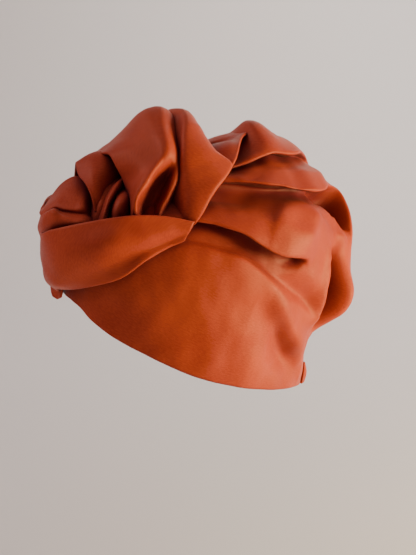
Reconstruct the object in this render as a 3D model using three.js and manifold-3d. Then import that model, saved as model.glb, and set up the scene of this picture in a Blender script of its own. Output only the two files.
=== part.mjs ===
// A wrapped turban in satin: a pleated crown, a band across the forehead, a sash
// that crosses the top, and a rosette of folded petals at the front.
//
// Frame, in millimetres: the origin is the middle of the head opening on the hat
// line, +Z is up, the wearer faces -Y and the wearer's left is +X.

import * as THREE from 'three';
import Module from 'manifold-3d';

const wasm = await Module();
wasm.setup();

// Driving dimensions
const HEAD_HALF_WIDTH = 77;
const HEAD_HALF_LENGTH = 98;
const CROWN_WALL = 1.5;
const FOLDED_WALL = 2.4;
const CORE_WALL = 2;
const GAP = 0.3;
const SEAM_HALF_WIDTH = 0.4;

// The ruched casing at the nape: how far it spreads to each side and how high it
// rises, in degrees, and the number and depth of its ruffles
const NAPE_HALF_SPREAD = 37;
const NAPE_RISE = 9;
const NAPE_RUFFLES = 7;
const NAPE_RUFFLE_DEPTH = 1.2;

// Fineness of the sheets
const CROWN_ROWS = 26;
const COLUMNS_PER_PLEAT = 5;
const STEPS_ALONG_STRIP = 2;
const STEPS_ACROSS_STRIP = 2;
const NAPE_COLUMNS = 28;
const NAPE_ROWS = 2;

const SATIN = { color: 0xb5481f, roughness: 0.45, metalness: 0 };
const RIGHT_ANGLE = 90;
const radians = THREE.MathUtils.degToRad;
const clamp = THREE.MathUtils.clamp;

// Height of the hem, by the turn around the head from the front centre, degrees
const HEM_LEFT = {
  turn: [0, 8, 16, 30, 45, 70, 95, 120, 150, 180],
  height: [16, 13, 6, -5, -16, -36, -51, -62, -70, -74],
};
const HEM_RIGHT = {
  turn: [0, 14, 28, 45, 70, 95, 120, 150, 180],
  height: [16, 16.5, 13, 2, -17, -38, -55, -68, -74],
};

// The crown runs in arches from the left hem over the top to the right hem. Each
// column is one arch: its place from front to nape, where it meets the hem, where
// its top lies, how far its sides puff out and how its back tucks in.
const ARCHES = {
  along: [0, 0.04, 0.12, 0.25, 0.4, 0.55, 0.7, 0.82, 0.92, 1],
  turn: [0, 10, 22, 42, 68, 92, 115, 138, 160, 180],
  top_y: [-88, -86, -74, -40, 10, 62, 111, 142, 138, 101],
  top_z: [60, 68, 88, 108, 115, 117, 95, 51, -4, -40],
  puff: [0, 2, 5, 8, 12, 14, 16, 18, 10, 0],
  tuck: [1, 1, 1, 1, 1, 1.05, 1.2, 1.5, 1.9, 1.5],
};

// Pleats: at each station from front to nape, the angle over the arch where the
// pleat's edge lies (0 left hem, 90 top, 180 right hem), how high the edge stands
// and how far it laps over the cloth below, in degrees of the arch.
const STATIONS = [0, 0.15, 0.3, 0.42, 0.52, 0.6, 0.66, 0.71, 0.75, 0.79, 0.84, 0.92, 1];
const FLAT = STATIONS.map(() => 0);
const PLEATS = [
  {
    name: 'nape_crease', width: 6, side: 1,
    seat: [12, 14, 19, 22, 17.5, 13.5, 11, 9, 7, 5, 4, 3, 3],
    stand: [0, 0, 0, 1, 4, 6, 6, 6, 5, 4, 2, 1, 0],
    lap: FLAT,
  },
  {
    name: 'side_crease', width: 5, side: 1,
    seat: [26, 32, 37, 34, 29.5, 25.5, 23, 20, 17, 14, 11, 9, 8],
    stand: [0, 0, 2, 4, 5, 5, 5, 5, 5, 4, 4, 3, 1],
    lap: FLAT,
  },
  {
    name: 'middle_pleat', width: 6, side: 1,
    seat: [42, 43, 43, 40, 34.5, 31, 30, 28, 25, 21, 16, 14, 12],
    stand: [0, 1, 6, 9, 11, 9, 2, 1, 1, 1, 1, 1, 1],
    lap: [0, 0, 1, 2, 2, 2, 0, 0, 0, 0, 0, 0, 0],
  },
  {
    name: 'upper_pleat', width: 7, side: 1,
    seat: [55, 57, 57, 55, 53, 53, 55, 60, 58, 42, 30, 21, 17],
    stand: [0, 1, 6, 9, 10, 10, 10, 10, 10, 10, 8, 5, 2],
    lap: [0, 0, 1, 2, 2, 2, 2, 2, 1, 1, 0, 0, 0],
  },
  {
    name: 'top_roll', width: 6, side: 1,
    seat: [66, 66, 66, 63, 66, 67.5, 70, 75, 76, 68, 58, 46, 40],
    stand: [0, 1, 4, 5, 10, 10, 7, 1, 1, 2, 3, 3, 1],
    lap: [0, 0, 1, 2, 2, 2, 1, 0, 0, 0, 0, 0, 0],
  },
  {
    name: 'right_top_roll', width: 6, side: -1,
    seat: [108, 110, 112, 113, 112, 110, 109, 109, 110, 113, 119, 128, 138],
    stand: [0, 1, 4, 5, 7, 8, 7, 6, 5, 4, 4, 3, 1],
    lap: [0, 0, 1, 2, 2, 2, 1, 0, 0, 0, 0, 0, 0],
  },
  {
    name: 'right_upper_pleat', width: 7, side: -1,
    seat: [124, 126, 128, 128, 127, 126, 127, 129, 133, 140, 149, 157, 161],
    stand: [0, 1, 5, 8, 9, 10, 10, 9, 9, 8, 7, 4, 2],
    lap: [0, 0, 1, 2, 2, 2, 1, 1, 0, 0, 0, 0, 0],
  },
  {
    name: 'right_middle_pleat', width: 6, side: -1,
    seat: [140, 142, 142, 143, 146, 149, 151, 153, 155, 158, 162, 166, 168],
    stand: [0, 1, 5, 7, 8, 8, 6, 4, 3, 3, 3, 2, 1],
    lap: [0, 0, 1, 2, 2, 1, 0, 0, 0, 0, 0, 0, 0],
  },
];

// Soft swells and hollows of the cloth. One under a pleat fades out at its edge.
const SWELLS = [
  { name: 'back_hollow', along: 0.705, over: 58, length: 0.035, breadth: 9, rise: -9, under: 'upper_pleat' },
  { name: 'side_bulge', along: 0.625, over: 41, length: 0.055, breadth: 9, rise: 8, under: 'upper_pleat' },
  { name: 'bulge_edge', along: 0.52, over: 46, length: 0.03, breadth: 6, rise: -3, under: 'upper_pleat' },
  { name: 'back_valley', along: 0.765, over: 34, length: 0.025, breadth: 12, rise: -7, under: 'upper_pleat' },
  { name: 'top_peak', along: 0.515, over: 86, length: 0.035, breadth: 12, rise: 1.5, under: null },
];

// Folded strips. A row is one section across the strip, a column one line along it.
const STRIPS = [
  {
    name: 'front_band', wall: FOLDED_WALL,
    columns: ['lower edge', 'lower side', 'upper side', 'upper edge'],
    sections: [
      [[-70, 6, 62], [-74, 6, 72], [-74, 6, 82], [-68, 6, 90]],
      [[-70, -28, 50], [-79, -29, 60], [-79, -29, 74], [-71, -28, 86]],
      [[-62, -58, 36], [-73, -62, 48], [-72, -62, 62], [-63, -60, 78]],
      [[-44, -86, 25], [-54, -94, 38], [-52, -96, 54], [-46, -90, 70]],
      [[-20, -98, 19], [-24, -108, 30], [-24, -111, 48], [-22, -107, 66]],
      [[-2, -108, 26], [-2, -116, 33], [-2, -118, 51], [-4, -116, 65]],
      [[8, -105, 27], [12, -112, 34], [18, -116, 53], [14, -115, 72]],
      [[27, -92, 34], [32, -98, 42], [38, -103, 61], [32, -101, 80]],
      [[41, -79, 43], [47, -84, 52], [51, -88, 69], [46, -88, 84]],
      [[50, -64, 53], [54, -67, 60], [58, -71, 72], [54, -72, 85]],
      [[55, -51, 59], [59, -53, 65], [62, -55, 74], [59, -54, 84]],
      [[58, -37, 64], [60, -37, 68], [62, -38, 74], [60, -38, 81]],
    ],
  },
  {
    name: 'crossing_sash', wall: FOLDED_WALL,
    columns: ['outer edge', 'middle', 'inner edge'],
    sections: [
      [[58, -36, 64], [58, -37, 67], [57, -37, 71]],
      [[57, -23, 80], [56, -28, 82], [50, -32, 80]],
      [[49, -2, 98], [50, -11, 103], [42, -20, 105]],
      [[38, 17, 113], [38, 8, 120], [30, -2, 122]],
      [[24, 38, 128], [22, 28, 128], [14, 16, 126]],
      [[6, 56, 133], [2, 44, 130], [-2, 28, 126]],
      [[-14, 48, 132], [-16, 33, 128], [-14, 12, 124]],
      [[-34, 38, 124], [-34, 24, 121], [-30, 6, 119]],
      [[-55, 20, 105], [-55, 6, 103], [-50, -8, 104]],
      [[-70, 2, 84], [-70, -12, 84], [-66, -22, 88]],
    ],
  },
  {
    name: 'rosette_tall_petal', wall: FOLDED_WALL,
    columns: ['left edge', 'face', 'ridge', 'pocket', 'lip', 'right edge'],
    sections: [
      [[-60, -66, 84], [-64, -52, 88], [-65, -38, 91], [-64, -26, 93], [-60, -16, 95], [-55, -8, 98]],
      [[-42, -66, 104], [-46, -54, 112], [-47, -38, 117], [-45, -26, 119], [-39, -16, 119], [-34, -10, 117]],
      [[-26, -62, 118], [-27, -52, 124], [-27, -38, 131], [-26, -26, 134], [-22, -17, 133], [-20, -12, 128]],
      [[-10, -66, 119], [-6, -49, 130], [-2, -34, 146], [0, -20, 148], [2, -13, 142], [4, -11, 134]],
      [[6, -70, 122], [14, -58, 128], [20, -43, 136], [24, -32, 139], [22, -24, 134], [20, -19, 128]],
      [[14, -67, 114], [26, -58, 118], [34, -48, 123], [41, -40, 124], [38, -31, 119], [30, -24, 113]],
      [[18, -64, 105], [32, -59, 106], [44, -52, 112], [34, -39, 109], [45, -37, 110], [34, -27, 105]],
      [[22, -62, 94], [37, -62, 95], [47, -61, 101], [34, -45, 95], [48, -43, 97], [40, -35, 93]],
      [[24, -60, 84], [37, -64, 86], [46, -66, 90], [34, -51, 84], [48, -49, 86], [42, -42, 84]],
      [[22, -58, 71], [36, -65, 74], [42, -66, 76], [34, -52, 71], [46, -52, 74], [42, -46, 73]],
    ],
  },
  {
    name: 'rosette_back_petal', wall: FOLDED_WALL,
    columns: ['inner edge', 'crease', 'ridge', 'outer edge'],
    sections: [
      [[56, -36, 77], [59, -37, 76], [61, -38, 72], [58, -35, 65]],
      [[38, -40, 78], [44, -35, 81], [62, -35, 86], [58, -23, 82]],
      [[32, -32, 95], [38, -27, 97], [57, -30, 102], [51, -7, 97]],
      [[24, -24, 111], [30, -21, 113], [48, -23, 118], [42, 7, 111]],
      [[16, -20, 126], [20, -15, 127], [37, -16, 131], [31, 1, 124]],
      [[8, -19, 138], [10, -11, 138], [24, -12, 141], [18, 0, 135]],
      [[-4, -12, 145], [-4, -5, 146], [4, -3, 147], [6, 1, 140]],
      [[-22, -8, 140], [-22, 4, 138], [-18, 14, 134], [-14, 20, 126]],
      [[-40, -6, 120], [-40, 6, 118], [-36, 16, 116], [-30, 24, 114]],
    ],
  },
  {
    name: 'rosette_left_petal', wall: FOLDED_WALL,
    columns: ['back edge', 'face', 'groove top', 'groove', 'ridge', 'front', 'lower edge'],
    sections: [
      [[-48, -82, 84], [-48, -84, 80], [-48, -86, 77], [-47, -87, 74], [-46, -88, 70], [-46, -88, 65], [-46, -88, 60]],
      [[-34, -98, 84], [-32, -100, 82], [-30, -102, 80], [-28, -103, 76], [-26, -106, 72], [-26, -108, 66], [-26, -106, 60]],
      [[-22, -106, 80], [-18, -110, 79], [-14, -112, 79], [-10, -113, 78], [-8, -114, 77], [-8, -115, 73], [-10, -113, 67]],
      [[-22, -100, 87], [-10, -104, 87], [-4, -106, 85], [-4, -107, 83], [4, -113, 84], [4, -114, 77], [-1, -112, 68]],
      [[-22, -90, 96], [-8, -96, 92], [2, -103, 85], [1, -104, 82], [10, -109, 81], [11, -110, 75], [6, -106, 69]],
      [[-18, -83, 101], [-4, -88, 94], [8, -97, 85], [7, -99, 81], [16, -103, 79], [17, -104, 75], [12, -100, 71]],
      [[-14, -78, 100], [-2, -81, 93], [11, -91, 85], [12, -92, 80], [20, -96, 78], [21, -96, 75], [16, -92, 72]],
      [[-14, -74, 95], [-6, -74, 87], [4, -80, 82], [10, -85, 78], [15, -85, 74], [17, -85, 71], [14, -82, 67]],
    ],
  },
  {
    name: 'rosette_tab_petal', wall: FOLDED_WALL,
    columns: ['left edge', 'left side', 'right side', 'right edge'],
    sections: [
      [[-42, -66, 88], [-42, -58, 92], [-40, -48, 96], [-38, -38, 98]],
      [[-24, -62, 108], [-24, -54, 116], [-22, -44, 120], [-20, -34, 122]],
      [[-16, -82, 112], [-12, -73, 117], [-8, -64, 119], [-4, -58, 117]],
      [[-4, -86, 106], [4, -80, 110], [6, -71, 111], [4, -61, 109]],
      [[6, -86, 101], [12, -82, 101], [10, -72, 101], [4, -58, 100]],
      [[13, -85, 93], [15, -80, 92], [12, -72, 91], [8, -60, 92]],
      [[16, -84, 82], [16, -79, 80], [14, -72, 79], [12, -64, 79]],
    ],
  },
  {
    name: 'rosette_core_right', wall: CORE_WALL,
    columns: ['left edge', 'left side', 'right side', 'right edge'],
    sections: [
      [[18, -76, 71], [32, -77, 74], [34, -70, 73], [28, -60, 71]],
      [[16, -74, 81], [32, -77, 85], [34, -70, 86], [26, -60, 82]],
      [[12, -68, 88], [27, -72, 92], [30, -67, 93], [22, -58, 89]],
      [[4, -58, 92], [14, -62, 95], [16, -59, 96], [12, -53, 93]],
    ],
  },
  {
    name: 'rosette_core_roll', wall: CORE_WALL,
    columns: ['left edge', 'ridge', 'right edge'],
    sections: [
      [[20, -85, 73], [28, -85, 74], [26, -80, 73]],
      [[18, -81, 82], [28, -83, 85], [24, -78, 84]],
      [[14, -75, 91], [25, -77, 94], [20, -71, 93]],
      [[8, -64, 99], [19, -67, 101], [14, -61, 98]],
      [[-2, -51, 102], [8, -54, 104], [6, -51, 101]],
    ],
  },
  {
    name: 'rosette_core_left', wall: CORE_WALL,
    columns: ['left edge', 'ridge', 'right edge'],
    sections: [
      [[8, -90, 74], [16, -86, 75], [22, -79, 75]],
      [[2, -83, 82], [16, -82, 87], [20, -76, 87]],
      [[-4, -76, 91], [10, -76, 96], [14, -69, 97]],
      [[-12, -67, 96], [0, -65, 102], [6, -59, 102]],
    ],
  },
  {
    name: 'hem_tab', wall: CORE_WALL,
    columns: ['left edge', 'middle', 'right edge'],
    sections: [
      [[-10, -103, 30], [-18, -103, 30], [-26, -100, 30]],
      [[-12, -99, 22], [-18, -100, 20], [-24, -101, 18]],
      [[-14, -99, 14], [-18, -99, 12], [-22, -101, 13]],
    ],
  },
];

function smoothstep(t) {
  const x = clamp(t, 0, 1);
  return x * x * (3 - 2 * x);
}

// Smooth curve through a short table. With limited slopes it never overshoots.
function tableCurve(xs, ys, x, limited) {
  const last = xs.length - 1;
  const at = clamp(x, xs[0], xs[last]);
  const step = (k) => xs[k + 1] - xs[k];
  const rate = (k) => (ys[k + 1] - ys[k]) / step(k);
  const slope = (k) => {
    if (k === 0) return rate(0);
    if (k === last) return rate(last - 1);
    const before = rate(k - 1);
    const after = rate(k);
    if (!limited) {
      return (step(k) * before + step(k - 1) * after) / (step(k) + step(k - 1));
    }
    if (before * after <= 0) return 0;
    const w1 = 2 * step(k) + step(k - 1);
    const w2 = step(k) + 2 * step(k - 1);
    return (w1 + w2) / (w1 / before + w2 / after);
  };
  let k = 0;
  while (k < last - 1 && at >= xs[k + 1]) k += 1;
  const h = step(k);
  const t = (at - xs[k]) / h;
  const start = (1 + 2 * t) * (1 - t) ** 2 * ys[k] + t * (1 - t) ** 2 * h * slope(k);
  const end = t * t * (3 - 2 * t) * ys[k + 1] + t * t * (t - 1) * h * slope(k + 1);
  return start + end;
}
const gentle = (xs, ys, x) => tableCurve(xs, ys, x, true);
const rounded = (xs, ys, x) => tableCurve(xs, ys, x, false);

// Point of the smooth crown: along 0 front to 1 nape, over 0 to 180 degrees.
function crownPoint(along, over) {
  const turn = gentle(ARCHES.along, ARCHES.turn, along);
  const topY = rounded(ARCHES.along, ARCHES.top_y, along);
  const topZ = rounded(ARCHES.along, ARCHES.top_z, along);
  const puff = gentle(ARCHES.along, ARCHES.puff, along);
  const tuck = gentle(ARCHES.along, ARCHES.tuck, along);
  const hem = over <= RIGHT_ANGLE ? HEM_LEFT : HEM_RIGHT;
  const hemX = Math.max(HEAD_HALF_WIDTH * Math.sin(radians(turn)), SEAM_HALF_WIDTH);
  const hemY = -HEAD_HALF_LENGTH * Math.cos(radians(turn));
  const hemZ = gentle(hem.turn, hem.height, turn);
  const across = Math.cos(radians(over));
  const rise = clamp(Math.sin(radians(over)), 0, 1);
  const reach = hemX + puff * Math.abs(Math.sin(radians(2 * over)));
  return new THREE.Vector3(
    reach * Math.sign(across) * Math.abs(across) ** 0.9,
    hemY + (topY - hemY) * rise ** tuck,
    hemZ + (topZ - hemZ) * rise,
  );
}

// Unit normals of a grid of points, on the side away from a point inside.
function gridNormals(grid, inside) {
  const rows = grid.length;
  const columns = grid[0].length;
  const normals = grid.map((row, i) => row.map((point, j) => {
    const alongStart = grid[Math.max(i - 1, 0)][j];
    const alongEnd = grid[Math.min(i + 1, rows - 1)][j];
    const acrossStart = row[Math.max(j - 1, 0)];
    const acrossEnd = row[Math.min(j + 1, columns - 1)];
    const normal = alongEnd.clone().sub(alongStart).cross(acrossEnd.clone().sub(acrossStart));
    return normal.normalize();
  }));
  let vote = 0;
  grid.forEach((row, i) => row.forEach((point, j) => {
    vote += Math.sign(point.clone().sub(inside).dot(normals[i][j]));
  }));
  if (vote < 0) normals.forEach((row) => row.forEach((normal) => normal.negate()));
  return normals;
}

// Closed solid between two grids of the same size: the outer and the inner face.
function solidBetween(outer, inner) {
  const rows = outer.length;
  const columns = outer[0].length;
  const points = [...outer.flat(), ...inner.flat()];
  const vertProperties = new Float32Array(points.flatMap((point) => point.toArray()));
  const out = (i, j) => i * columns + j;
  const inn = (i, j) => rows * columns + i * columns + j;
  const triangles = [];
  const quad = (a, b, c, d) => triangles.push(a, b, c, a, c, d);
  for (let i = 0; i < rows - 1; i += 1) {
    for (let j = 0; j < columns - 1; j += 1) {
      quad(out(i, j), out(i + 1, j), out(i + 1, j + 1), out(i, j + 1));
      quad(inn(i, j), inn(i, j + 1), inn(i + 1, j + 1), inn(i + 1, j));
    }
  }
  for (let i = 0; i < rows - 1; i += 1) {
    quad(out(i, 0), inn(i, 0), inn(i + 1, 0), out(i + 1, 0));
    quad(out(i + 1, columns - 1), inn(i + 1, columns - 1), inn(i, columns - 1), out(i, columns - 1));
  }
  for (let j = 0; j < columns - 1; j += 1) {
    quad(out(0, j + 1), inn(0, j + 1), inn(0, j), out(0, j));
    quad(out(rows - 1, j), inn(rows - 1, j), inn(rows - 1, j + 1), out(rows - 1, j + 1));
  }
  const build = (order) => new wasm.Manifold(new wasm.Mesh({
    numProp: 3, vertProperties, triVerts: new Uint32Array(order),
  }));
  const solid = build(triangles);
  if (solid.volume() > 0) return solid;
  const turned = [];
  for (let k = 0; k < triangles.length; k += 3) {
    turned.push(triangles[k], triangles[k + 2], triangles[k + 1]);
  }
  return build(turned);
}

function offset(grid, normals, distance) {
  return grid.map((row, i) => row.map((point, j) => (
    point.clone().addScaledVector(normals[i][j], distance)
  )));
}

// Angles over the arch at one row: the columns gather where the pleats fold.
function columnAngles(seats) {
  const gathered = (t) => t - (0.6 * Math.sin(2 * Math.PI * t)) / (2 * Math.PI);
  const angles = [];
  for (let k = 0; k < seats.length - 1; k += 1) {
    for (let step = 0; step < COLUMNS_PER_PLEAT; step += 1) {
      const t = gathered(step / COLUMNS_PER_PLEAT);
      angles.push(seats[k] + (seats[k + 1] - seats[k]) * t);
    }
  }
  return [...angles, seats[seats.length - 1]];
}

// How far a pleat shifts and lifts the cloth at one place.
function pleatEffect(pleat, index, seats, along, angle) {
  const stand = gentle(STATIONS, pleat.stand, along);
  const lap = gentle(STATIONS, pleat.lap, along);
  const fromEdge = pleat.side * (angle - seats[index + 1]);
  const across = fromEdge / pleat.width;
  const shift = Math.abs(across) < 1 ? -pleat.side * lap * Math.sin(Math.PI * across) : 0;
  const next = pleat.side > 0 ? seats[index + 2] : seats[index];
  const reach = Math.max(Math.abs(next - seats[index + 1]), pleat.width);
  const lift = stand * smoothstep(across + 0.5) * (1 - smoothstep(fromEdge / reach));
  return { shift, lift, over: smoothstep(across + 0.5) };
}

// The crown's outer face, and its normals.
function crownGrid() {
  const smooth = [];
  const heights = [];
  const folded = [];
  for (let row = 0; row < CROWN_ROWS; row += 1) {
    const along = row / (CROWN_ROWS - 1);
    const seats = [0, ...PLEATS.map((pleat) => rounded(STATIONS, pleat.seat, along)), 180];
    const angles = columnAngles(seats);
    smooth.push(angles.map((angle) => crownPoint(along, angle)));
    const lifts = [];
    folded.push(angles.map((angle) => {
      const effects = PLEATS.map((pleat, k) => pleatEffect(pleat, k, seats, along, angle));
      const shift = effects.reduce((sum, effect) => sum + effect.shift, 0);
      const over = clamp(angle + shift, 0, 180);
      let lift = effects.reduce((sum, effect) => sum + effect.lift, 0);
      for (const swell of SWELLS) {
        const far = ((along - swell.along) / swell.length) ** 2 + ((over - swell.over) / swell.breadth) ** 2;
        const cover = PLEATS.findIndex((pleat) => pleat.name === swell.under);
        const shown = cover < 0 ? 1 : 1 - effects[cover].over;
        lift += swell.rise * Math.exp(-far) * shown;
      }
      lifts.push(lift);
      return crownPoint(along, over);
    }));
    heights.push(lifts);
  }
  const centre = new THREE.Vector3(0, 15, 10);
  const upright = gridNormals(smooth, centre);
  const outer = folded.map((row, i) => row.map((point, j) => (
    point.addScaledVector(upright[i][j], heights[i][j])
  )));
  // Both ends of the sheet meet on the middle line, front and back, so nothing
  // there may lean across it.
  const normals = gridNormals(outer, centre);
  for (const i of [0, CROWN_ROWS - 1]) {
    normals[i].forEach((normal) => normal.setX(0).normalize());
    outer[i].forEach((point, j) => {
      const side = smooth[i][j].x;
      point.setX(side);
    });
  }
  return { outer, normals };
}

function crownSolid({ outer, normals }, clearance) {
  const outside = offset(outer, normals, clearance);
  const inside = offset(outer, normals, -CROWN_WALL - clearance);
  return solidBetween(outside, inside);
}

// Catmull-Rom curve through a list of points, with the ends carried on.
function throughPoints(points, steps, margin) {
  const last = points.length - 1;
  const before = points[0].clone().multiplyScalar(2).sub(points[1]);
  const after = points[last].clone().multiplyScalar(2).sub(points[last - 1]);
  const all = [before, ...points, after];
  const result = [];
  for (let n = 0; n <= last * steps; n += 1) {
    const k = Math.min(Math.floor(n / steps), last - 1);
    const t = n / steps - k;
    const [a, b, c, d] = all.slice(k, k + 4);
    const point = new THREE.Vector3();
    point.addScaledVector(b, 2);
    point.addScaledVector(c.clone().sub(a), t);
    point.addScaledVector(a.clone().multiplyScalar(2).addScaledVector(b, -5).addScaledVector(c, 4).sub(d), t * t);
    point.addScaledVector(b.clone().multiplyScalar(3).sub(a).addScaledVector(c, -3).add(d), t * t * t);
    result.push(point.multiplyScalar(0.5));
  }
  const carryOn = (end, neighbour) => {
    const direction = end.clone().sub(neighbour).normalize();
    end.addScaledVector(direction, margin);
  };
  carryOn(result[0], result[1].clone());
  carryOn(result[result.length - 1], result[result.length - 2].clone());
  return result;
}

function transpose(grid) {
  return grid[0].map((_, j) => grid.map((row) => row[j]));
}

function stripSolid(strip, clearance) {
  const sections = strip.sections.map((row) => row.map((xyz) => new THREE.Vector3(...xyz)));
  const along = transpose(transpose(sections).map((line) => throughPoints(line, STEPS_ALONG_STRIP, clearance)));
  const grid = along.map((row) => throughPoints(row, STEPS_ACROSS_STRIP, clearance));
  const normals = gridNormals(grid, new THREE.Vector3(0, 0, 0));
  const half = strip.wall / 2 + clearance;
  return solidBetween(offset(grid, normals, half), offset(grid, normals, -half));
}

// The largest connected piece of a solid: cuts can leave hidden scraps inside.
function largestPiece(solid) {
  const pieces = solid.decompose();
  return pieces.reduce((best, piece) => (piece.volume() > best.volume() ? piece : best));
}

// The ruched casing at the nape lies on the crown's outside, along its hem.
function napeSolid(clearance) {
  const rest = GAP + FOLDED_WALL / 2 + NAPE_RUFFLE_DEPTH;
  const columns = [];
  for (let n = 0; n <= NAPE_COLUMNS; n += 1) {
    const share = (2 * n) / NAPE_COLUMNS - 1;
    const along = gentle(ARCHES.turn, ARCHES.along, 180 - NAPE_HALF_SPREAD * Math.abs(share));
    const line = [];
    for (let m = 0; m <= NAPE_ROWS; m += 1) {
      const angle = (NAPE_RISE * m) / NAPE_ROWS;
      const point = crownPoint(along, share < 0 ? angle : 180 - angle);
      if (share === 0) point.setX(0);
      const outward = new THREE.Vector3(point.x / HEAD_HALF_WIDTH ** 2, point.y / HEAD_HALF_LENGTH ** 2, 0);
      const wave = Math.sin(NAPE_RUFFLES * Math.PI * (share + 1)) * Math.sin((Math.PI * m) / NAPE_ROWS);
      line.push(point.addScaledVector(outward.normalize(), rest + NAPE_RUFFLE_DEPTH * wave));
    }
    columns.push(line);
  }
  const normals = gridNormals(columns, new THREE.Vector3(0, 0, -60));
  const half = FOLDED_WALL / 2 + clearance;
  return solidBetween(offset(columns, normals, half), offset(columns, normals, -half));
}

function meshFrom(name, solid) {
  const { vertProperties, triVerts } = solid.getMesh();
  const geometry = new THREE.BufferGeometry();
  geometry.setAttribute('position', new THREE.BufferAttribute(vertProperties, 3));
  geometry.setIndex(new THREE.BufferAttribute(triVerts, 1));
  geometry.computeVertexNormals();
  const mesh = new THREE.Mesh(geometry, new THREE.MeshStandardMaterial(SATIN));
  mesh.name = name;
  return mesh;
}

// The pieces are laid one after the other. Each is cut clear of those before it,
// so that cloth tucked behind cloth keeps a small gap.
const crown = crownGrid();
const makers = [
  { name: 'crown_wrap', make: (clearance) => crownSolid(crown, clearance) },
  { name: 'nape_gather', make: napeSolid },
  ...STRIPS.map((strip) => ({ name: strip.name, make: (clearance) => stripSolid(strip, clearance) })),
];

const turban = new THREE.Group();
const laid = [];
for (const { name, make } of makers) {
  const whole = make(0);
  let solid = whole;
  for (const cutter of laid) solid = solid.subtract(cutter);
  turban.add(meshFrom(name, largestPiece(solid)));
  laid.push(whole, make(GAP));
}

export default turban;
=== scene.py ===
"""A wrapped turban in burnt orange satin, held as a head would hold it.

Frame, as in the CAD model: the origin is the middle of the head opening on the hat
line, +Z is up, the wearer faces -Y and the wearer's left is +X. Tables are in
millimetres and degrees, and meshes are made in metres.
"""
import math

import bmesh
import bpy
import numpy as np
from mathutils import Matrix, Vector


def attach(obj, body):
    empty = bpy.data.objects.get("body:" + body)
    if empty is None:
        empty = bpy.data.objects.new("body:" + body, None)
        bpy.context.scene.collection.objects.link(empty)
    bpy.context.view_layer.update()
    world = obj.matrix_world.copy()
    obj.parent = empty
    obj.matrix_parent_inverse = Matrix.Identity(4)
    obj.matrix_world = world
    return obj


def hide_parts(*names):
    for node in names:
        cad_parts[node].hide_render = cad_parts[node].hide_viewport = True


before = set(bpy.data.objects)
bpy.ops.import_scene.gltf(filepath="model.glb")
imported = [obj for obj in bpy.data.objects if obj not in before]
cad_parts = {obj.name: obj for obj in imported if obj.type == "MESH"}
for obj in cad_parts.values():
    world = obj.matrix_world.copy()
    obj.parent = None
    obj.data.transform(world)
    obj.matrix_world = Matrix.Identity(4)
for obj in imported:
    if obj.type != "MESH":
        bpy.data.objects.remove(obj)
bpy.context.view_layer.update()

MM = 0.001
TINY = 1e-9

# Driving dimensions
HEAD_HALF_WIDTH = 77.0
HEAD_HALF_LENGTH = 98.0
CROWN_WALL = 1.3
BAND_WALL = 3.0
PETAL_WALL = 2.4
CORE_WALL = 2.0
SEAM_HALF_WIDTH = 0.15
CROWN_LENGTH = 330.0
MM_PER_DEGREE = 1.7
ARCH_SQUARENESS = 0.9

# Points inside the crown and inside its nape, from which the cloth's outer side is told
CROWN_INSIDE = np.array([0, 15, 10.0])
NAPE_INSIDE = np.array([0, 0, -60.0])

# The slight unevenness of the cloth: wavelengths, height, waves of each length, and how they bend
WRINKLE_LENGTHS = [42.0, 27.0, 16.0]
WRINKLE_RISE = 0.18
WRINKLE_WAVES = 4
WRINKLE_BEND = 1.5
WRINKLE_BEND_STRETCH = 3

# Fineness of the meshes
CROWN_ROWS = 188
ROWS_SHARE = {"share": [0, 0.12, 0.88, 1], "along": [0, 0.20, 0.86, 1]}
STEPS_ALONG = 14
STEPS_ACROSS = 14
EDGE_STEPS = 5
CREASE_STEPS = 4

# Height of the hem, by the turn around the head from the front centre
HEM_LEFT = {
    "turn": [0, 8, 16, 30, 45, 70, 95, 120, 150, 180],
    "height": [16, 13, 6, -5, -16, -36, -51, -62, -70, -74],
}
HEM_RIGHT = {
    "turn": [0, 14, 28, 45, 70, 95, 120, 150, 180],
    "height": [16, 16.5, 13, 2, -17, -38, -55, -68, -74],
}

# The arches of the crown, from the front to the nape
ARCHES = {
    "along": [0.00, 0.04, 0.12, 0.25, 0.40, 0.55, 0.70, 0.82, 0.92, 1.00],
    "turn": [0, 10, 22, 42, 68, 92, 115, 138, 160, 180],
    "top_y": [-88, -86, -74, -40, 10, 62, 111, 142, 138, 101],
    "top_z": [60, 68, 88, 108, 115, 117, 95, 51, -4, -40],
    "puff": [0, 2, 5, 8, 12, 14, 16, 18, 10, 0],
    "tuck": [1, 1, 1, 1, 1, 1.05, 1.2, 1.5, 1.9, 1.5],
}

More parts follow.
